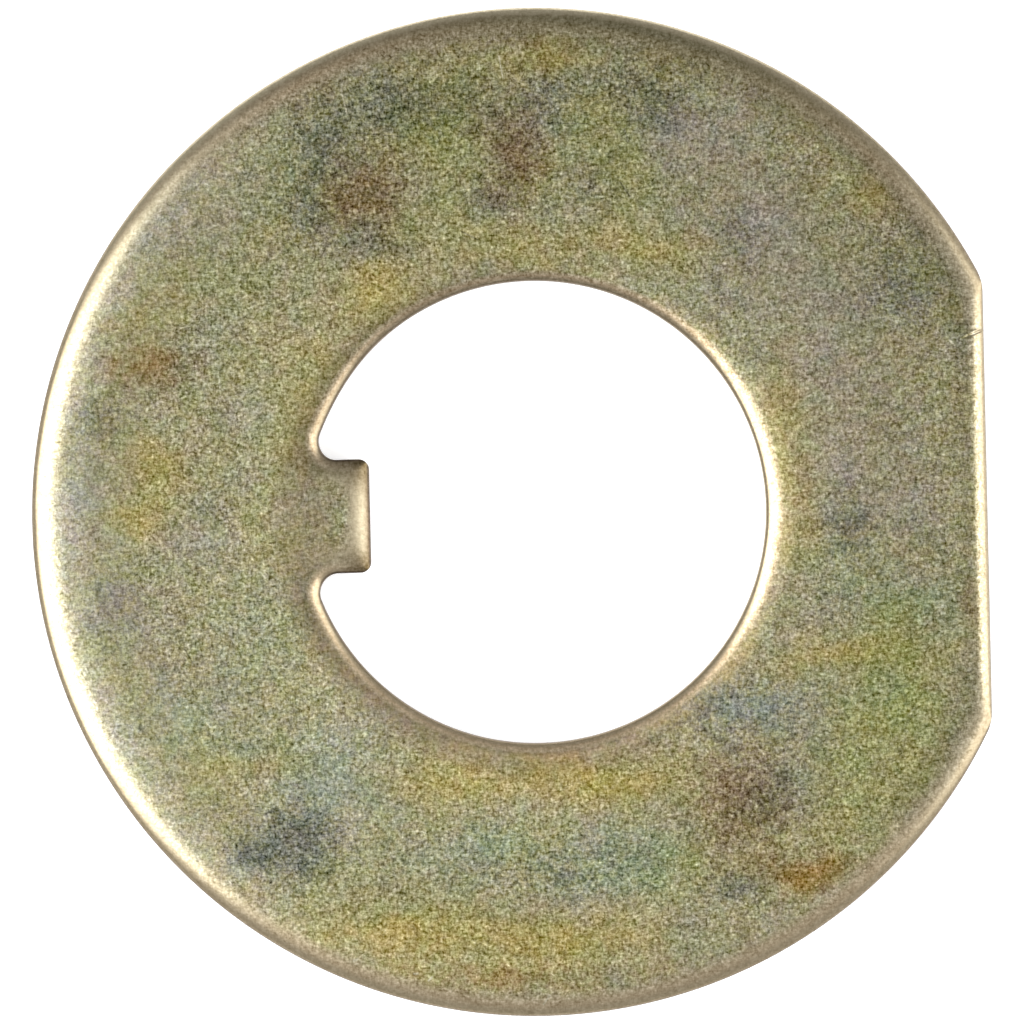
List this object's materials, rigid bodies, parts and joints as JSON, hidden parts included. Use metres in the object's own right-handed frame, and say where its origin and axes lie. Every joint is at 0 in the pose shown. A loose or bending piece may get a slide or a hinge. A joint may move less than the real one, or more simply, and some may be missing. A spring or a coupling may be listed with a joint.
{
  "type": "keyed spindle washer",
  "caption": "Stamped round steel washer with a flat on its rim and a key tongue in its bore, zinc plated with a yellow chromate.",
  "frame": {"origin": "middle of the footprint on the burr-side face; the bore's axis stands 1.415 mm to +X of it, because the flat shortens the +X side", "axes": "+Z along the bore, from the burr side to the rolled side; +X from the bore's axis to the middle of the rim's flat, with the tongue on the -X side of the bore; +Y completes the right-handed frame"},
  "size_m": [0.053, 0.0558, 0.0032],
  "materials": {
    "washer": "satin zinc plate under a yellow chromate film, stained and lightly scratched"
  },
  "bodies": {
    "root": {"washer": "washer"}
  },
  "joints": []
}
